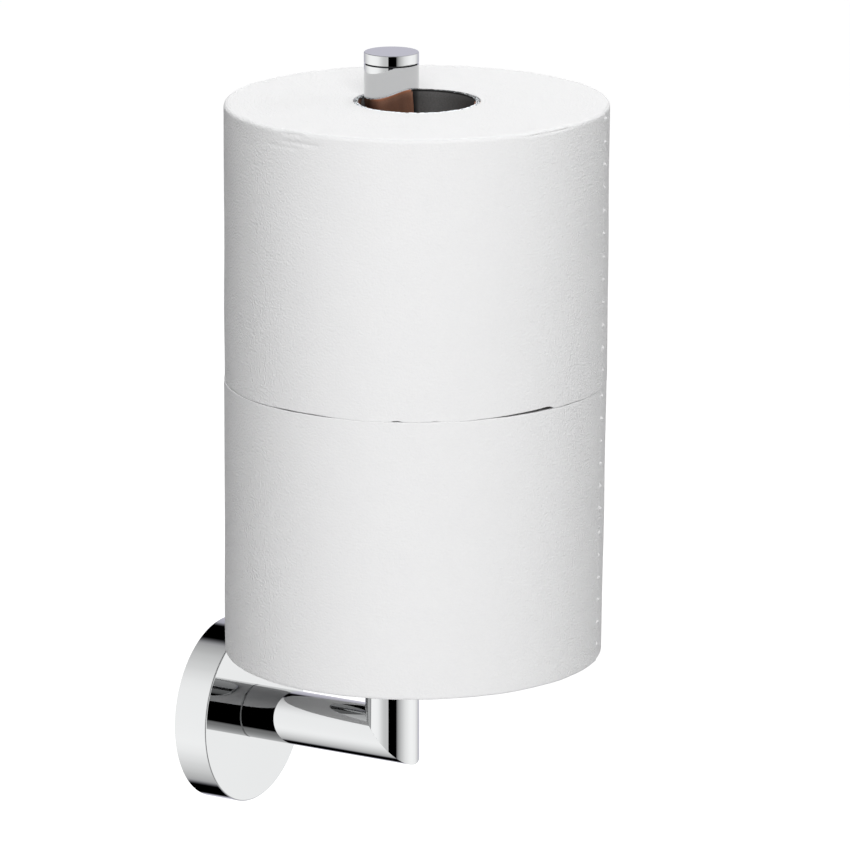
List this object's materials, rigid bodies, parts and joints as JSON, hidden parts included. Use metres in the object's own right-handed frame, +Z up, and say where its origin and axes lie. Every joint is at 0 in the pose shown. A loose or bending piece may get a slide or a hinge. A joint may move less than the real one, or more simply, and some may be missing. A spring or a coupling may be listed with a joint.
{
  "type": "toilet roll storage holder",
  "caption": "Wall-mounted upright rod on a round rose and short mitred arm, holding spare toilet rolls that lift off over its capped end.",
  "frame": {"origin": "centre of the rose's back face, on the wall and on the arm's axis", "axes": "+Z up along the rod, -Y out from the wall along the arm, +Y into the wall, +X to the side"},
  "size_m": [0.133, 0.1467, 0.2765],
  "materials": {
    "chrome_plate": "polished",
    "zinc_steel": "satin",
    "screw_steel": "satin",
    "brass": "satin",
    "cardboard": "matte",
    "tissue": "matte"
  },
  "bodies": {
    "holder": {"rose_cover": "chrome_plate", "wall_plate": "zinc_steel", "rose_grub_screw": "screw_steel", "arm_tube": "chrome_plate", "arm_end_plug": "brass", "arm_screw": "screw_steel", "spring_washer": "screw_steel", "locating_pin": "screw_steel", "rod_tube": "chrome_plate", "end_cap": "chrome_plate", "roll_rest": "chrome_plate", "rest_grub_screw": "screw_steel"},
    "lower_roll": {"lower_roll_core": "cardboard", "lower_roll_paper": "tissue"},
    "upper_roll": {"upper_roll_core": "cardboard", "upper_roll_paper": "tissue"}
  },
  "joints": [
    {"name": "lower_roll_lift", "type": "slide", "parent": "holder", "child": "lower_roll", "axis": [0, 0, 1], "range_m": [0, 0.22]},
    {"name": "upper_roll_lift", "type": "slide", "parent": "lower_roll", "child": "upper_roll", "axis": [0, 0, 1], "range_m": [0, 0.12]}
  ]
}
